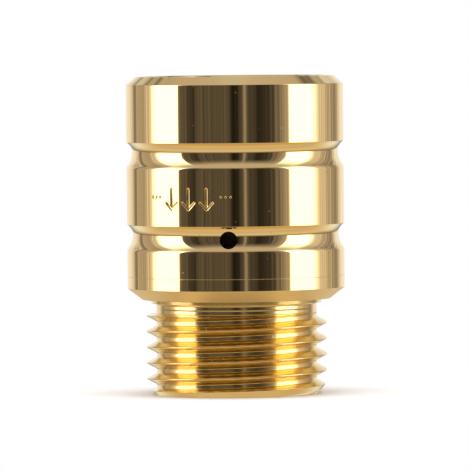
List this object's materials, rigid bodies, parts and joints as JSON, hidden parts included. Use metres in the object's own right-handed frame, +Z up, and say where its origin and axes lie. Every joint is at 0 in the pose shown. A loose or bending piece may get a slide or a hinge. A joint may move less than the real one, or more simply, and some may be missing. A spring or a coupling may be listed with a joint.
{
  "type": "in-line water pressure regulator",
  "caption": "In-line water regulator: turned brass fitting with grooved bands, threaded socket on top, threaded outlet below, inner strainer, flow regulator, air intake and turbine.",
  "frame": {"origin": "middle of the outlet's end face, where the fitting stands", "axes": "+Z up the flow axis, from the outlet thread to the inlet socket; -Y is the side with the air hole"},
  "size_m": [0.025, 0.025, 0.0365],
  "materials": {
    "polished_brass": "turned and polished",
    "rubber": "matt",
    "steel": "satin",
    "white_plastic": "moulded",
    "grey_plastic": "moulded",
    "black_plastic": "moulded"
  },
  "bodies": {
    "body": {"housing": "polished_brass", "outlet_nipple": "polished_brass", "body_o_ring": "rubber", "regulator_body": "white_plastic", "regulator_core": "grey_plastic", "regulator_ring": "rubber", "regulator_cover": "white_plastic", "air_ring": "black_plastic", "jet_nozzle": "grey_plastic", "nozzle_o_ring": "rubber", "lower_spider": "white_plastic", "spacer_sleeve": "white_plastic", "lower_bush": "grey_plastic", "lower_thrust_washer": "steel", "upper_thrust_washer": "steel", "upper_bush": "grey_plastic"},
    "turbine": {"turbine_rotor": "white_plastic", "rotor_axle": "steel"},
    "strainer": {"inlet_washer": "rubber", "strainer_rim": "steel", "strainer_mesh": "steel"}
  },
  "joints": [
    {"name": "rotor_spin", "type": "hinge", "parent": "body", "child": "turbine", "pos_m": [0, 0, 0.0156], "axis": [0, 0, 1], "continuous": true},
    {"name": "strainer_lift", "type": "slide", "parent": "body", "child": "strainer", "axis": [0, 0, 1], "range_m": [0, 0.02]}
  ]
}
